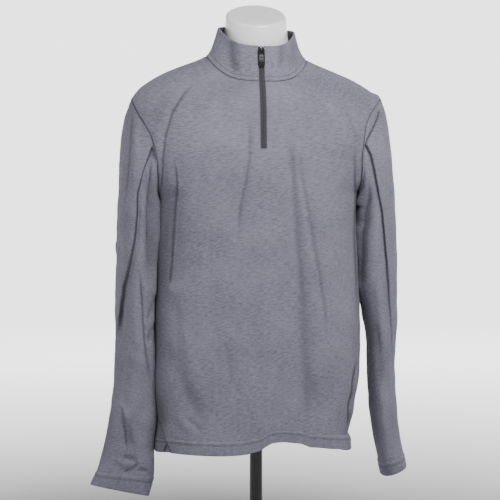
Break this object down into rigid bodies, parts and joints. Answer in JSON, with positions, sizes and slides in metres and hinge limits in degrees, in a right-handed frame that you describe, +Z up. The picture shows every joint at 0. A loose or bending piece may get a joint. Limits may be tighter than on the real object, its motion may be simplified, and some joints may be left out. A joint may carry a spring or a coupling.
{
  "type": "sweatshirt on dress form",
  "caption": "Heather grey quarter-zip pullover with stand collar and long sleeves, worn by a white limbless torso form on a short round stand.",
  "frame": {"origin": "centre of the stand base's underside, on the floor", "axes": "+Z up, the garment's front faces -Y, +X is the wearer's left"},
  "size_m": [0.603, 0.28, 1.0337],
  "materials": {
    "jersey": "heather grey brushed cotton jersey",
    "zip_tape": "woven tape, dark grey",
    "zip_metal": "black enamelled zinc",
    "pull_rubber": "satin black moulded rubber",
    "form_shell": "white satin gloss",
    "stand_metal": "black powder coat"
  },
  "bodies": {
    "root": {"body_front": "jersey", "body_back": "jersey", "sleeve_left": "jersey", "sleeve_right": "jersey", "collar": "jersey", "zip_tape_left": "zip_tape", "zip_tape_right": "zip_tape", "zip_slider": "zip_metal", "form_torso": "form_shell", "stand_flange": "stand_metal", "stand_pole": "stand_metal", "stand_base": "stand_metal"},
    "pull": {"zip_pull": "pull_rubber"}
  },
  "joints": [
    {"name": "pull_swing", "type": "hinge", "parent": "root", "child": "pull", "pos_m": [0, -0.06856, 0.96485], "axis": [-1, 0, 0], "range_deg": [0, 150]}
  ]
}
